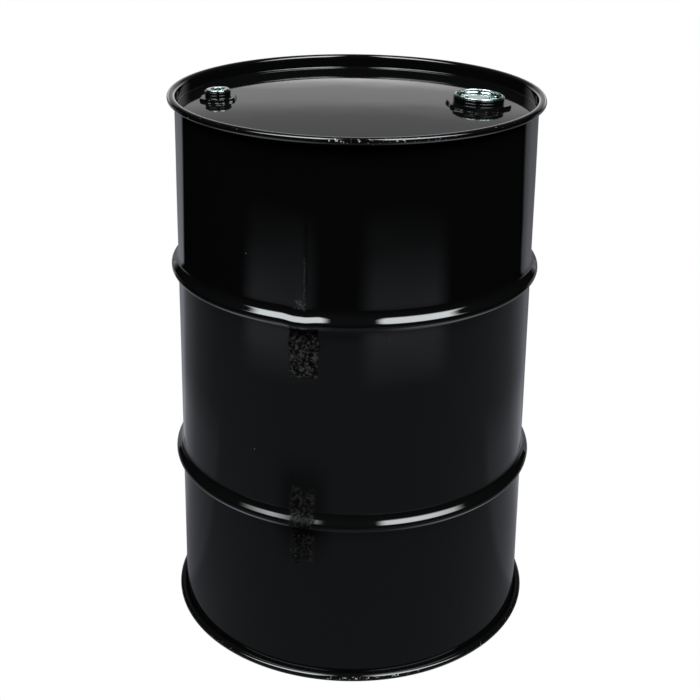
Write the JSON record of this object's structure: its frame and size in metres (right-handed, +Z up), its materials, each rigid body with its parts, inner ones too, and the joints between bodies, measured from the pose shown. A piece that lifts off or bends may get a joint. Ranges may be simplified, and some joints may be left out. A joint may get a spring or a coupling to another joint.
{
  "type": "steel oil drum",
  "caption": "Tight-head steel drum with rolling hoops and rolled chimes; threaded zinc bungs in the sunk top head screw out.",
  "frame": {"origin": "centre of the circle the bottom chime stands on", "axes": "+Z up along the drum's axis; +X from the axis towards the large bung, so the small bung is on -X; -Y is the side the picture is taken from"},
  "size_m": [0.5967, 0.5968, 0.876],
  "materials": {
    "black_enamel": "high-gloss black enamel over steel sheet, chipped to bare steel in spots along the chimes, scaled along the weld",
    "zinc_plate": "bright zinc plate with a faint blue-green passivation tint",
    "flange_steel": "plain machined steel, lightly oiled",
    "gasket_rubber": "matte black nitrile rubber",
    "seam_compound": "dull tan rubbery sealing compound"
  },
  "bodies": {
    "drum": {"body_shell": "black_enamel", "top_head": "black_enamel", "bottom_head": "black_enamel", "top_seam_compound": "seam_compound", "bottom_seam_compound": "seam_compound", "large_flange": "flange_steel", "large_flange_gasket": "gasket_rubber", "small_flange": "flange_steel", "small_flange_gasket": "gasket_rubber"},
    "large_lift": {"large_plug_gasket": "gasket_rubber"},
    "large_bung": {"large_plug": "zinc_plate"},
    "small_lift": {"small_plug_gasket": "gasket_rubber"},
    "small_bung": {"small_plug": "zinc_plate"}
  },
  "joints": [
    {"name": "large_plug_rise", "type": "slide", "parent": "drum", "child": "large_lift", "axis": [0.0338, 0, 0.9994], "range_m": [0, 0.01848]},
    {"name": "large_plug_turn", "type": "hinge", "parent": "large_lift", "child": "large_bung", "pos_m": [0.192, 0, 0.85725], "axis": [0.0338, 0, 0.9994], "range_deg": [0, 2880]},
    {"name": "small_plug_rise", "type": "slide", "parent": "drum", "child": "small_lift", "axis": [-0.0389, 0, 0.9992], "range_m": [0, 0.01452]},
    {"name": "small_plug_turn", "type": "hinge", "parent": "small_lift", "child": "small_bung", "pos_m": [-0.221, 0, 0.8562], "axis": [-0.0389, 0, 0.9992], "range_deg": [0, 2880]}
  ],
  "couplings": [
    {"joint": "large_plug_rise", "follows": "large_plug_turn", "m_per_rad": 0.00036749},
    {"joint": "small_plug_rise", "follows": "small_plug_turn", "m_per_rad": 0.00028871}
  ]
}
